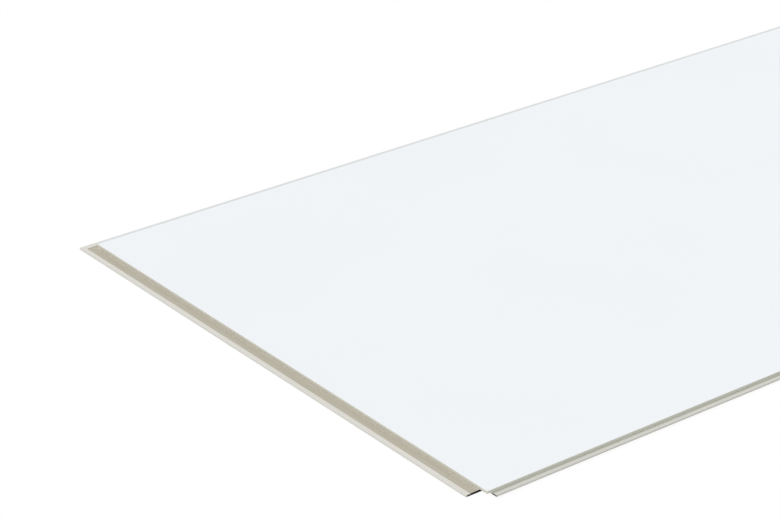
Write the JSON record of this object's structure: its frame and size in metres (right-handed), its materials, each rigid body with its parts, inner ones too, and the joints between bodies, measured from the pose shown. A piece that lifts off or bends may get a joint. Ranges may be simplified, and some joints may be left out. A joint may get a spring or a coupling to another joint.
{
  "type": "tongue and groove board",
  "caption": "Thin rigid wall board with a smooth white face, locking tongues on two edges and grooves over long rimmed lower lips on the other two.",
  "frame": {"origin": "centre of the visible face, taken down to the flat underside", "axes": "+X along the board towards the short tongue edge, +Y across it towards the long groove edge, +Z out of the visible face"},
  "size_m": [0.9137, 0.4626, 0.0045],
  "materials": {
    "board": "satin white face film over a beige-grey filled core that shows at the milled edges"
  },
  "bodies": {
    "root": {"board": "board"}
  },
  "joints": []
}
